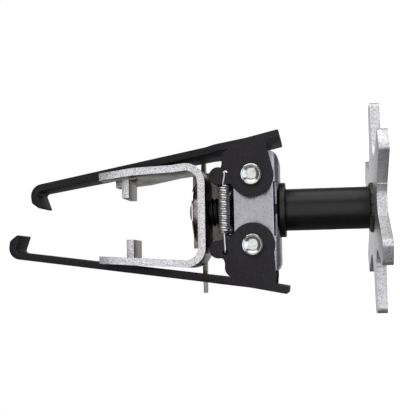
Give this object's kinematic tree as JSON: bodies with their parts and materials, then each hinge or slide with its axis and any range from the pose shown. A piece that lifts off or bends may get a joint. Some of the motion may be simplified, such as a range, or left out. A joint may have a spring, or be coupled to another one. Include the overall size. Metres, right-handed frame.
{
  "type": "two jaw puller",
  "caption": "Hand puller with sprung black hooked jaws, a silver pressing yoke on a screw, and a lobed handwheel that drives it.",
  "frame": {"origin": "centre of the handwheel's outer flat face, which the tool stands on", "axes": "+Z along the screw towards the jaws, +X from the lower jaw to the upper jaw, +Y across the jaws' width"},
  "size_m": [0.1002, 0.092, 0.1838],
  "materials": {
    "wheel_zinc": "hammered cast finish",
    "weld_bead": "dull weld bead",
    "tube_black": "satin black",
    "ring_steel": "turned steel",
    "bracket_zinc": "bright zinc plate",
    "rivet_steel": "bright pressed steel",
    "jaw_black": "matte black powder coat",
    "spring_wire": "drawn wire",
    "screw_black": "black oxide",
    "yoke_silver": "grainy silver coat",
    "dome_polished": "polished",
    "bolt_black": "black oxide"
  },
  "bodies": {
    "frame": {"bracket": "bracket_zinc", "upper_spacer": "ring_steel", "lower_spacer": "ring_steel", "upper_rivet": "rivet_steel", "lower_rivet": "rivet_steel", "side_washers": "ring_steel", "front_spring": "spring_wire", "rear_spring": "spring_wire"},
    "wheel": {"star_wheel": "wheel_zinc", "weld_ring": "weld_bead", "tube_nut": "tube_black", "collar": "tube_black", "retaining_ring": "ring_steel"},
    "press": {"screw": "screw_black", "yoke": "yoke_silver", "guide_plate": "bracket_zinc", "dome_washer": "dome_polished", "yoke_bolt": "bolt_black"},
    "upper_arm": {"upper_jaw": "jaw_black", "upper_bushes": "ring_steel"},
    "lower_arm": {"lower_jaw": "jaw_black", "lower_bushes": "ring_steel"}
  },
  "joints": [
    {"name": "wheel_spin", "type": "hinge", "parent": "frame", "child": "wheel", "pos_m": [0, 0, 0.05], "axis": [0, 0, 1], "range_deg": [0, 3960]},
    {"name": "screw_travel", "type": "slide", "parent": "frame", "child": "press", "axis": [0, 0, 1], "range_m": [0, 0.02201]},
    {"name": "upper_jaw_open", "type": "hinge", "parent": "frame", "child": "upper_arm", "pos_m": [0.016, 0, 0.061], "axis": [0, 1, 0], "range_deg": [0, 3.5], "stiffness_Nm_per_rad": 0.6, "springref_deg": -20.05, "deforming": ["front_spring", "rear_spring"]},
    {"name": "lower_jaw_open", "type": "hinge", "parent": "frame", "child": "lower_arm", "pos_m": [-0.017, 0, 0.061], "axis": [0, -1, 0], "range_deg": [0, 3.5], "stiffness_Nm_per_rad": 0.6, "springref_deg": -20.05}
  ],
  "couplings": [
    {"joint": "screw_travel", "follows": "wheel_spin", "m_per_rad": 0.00031831},
    {"joint": "upper_jaw_open", "follows": "wheel_spin", "ratio": 0.00088384},
    {"joint": "lower_jaw_open", "follows": "wheel_spin", "ratio": 0.00088384}
  ]
}
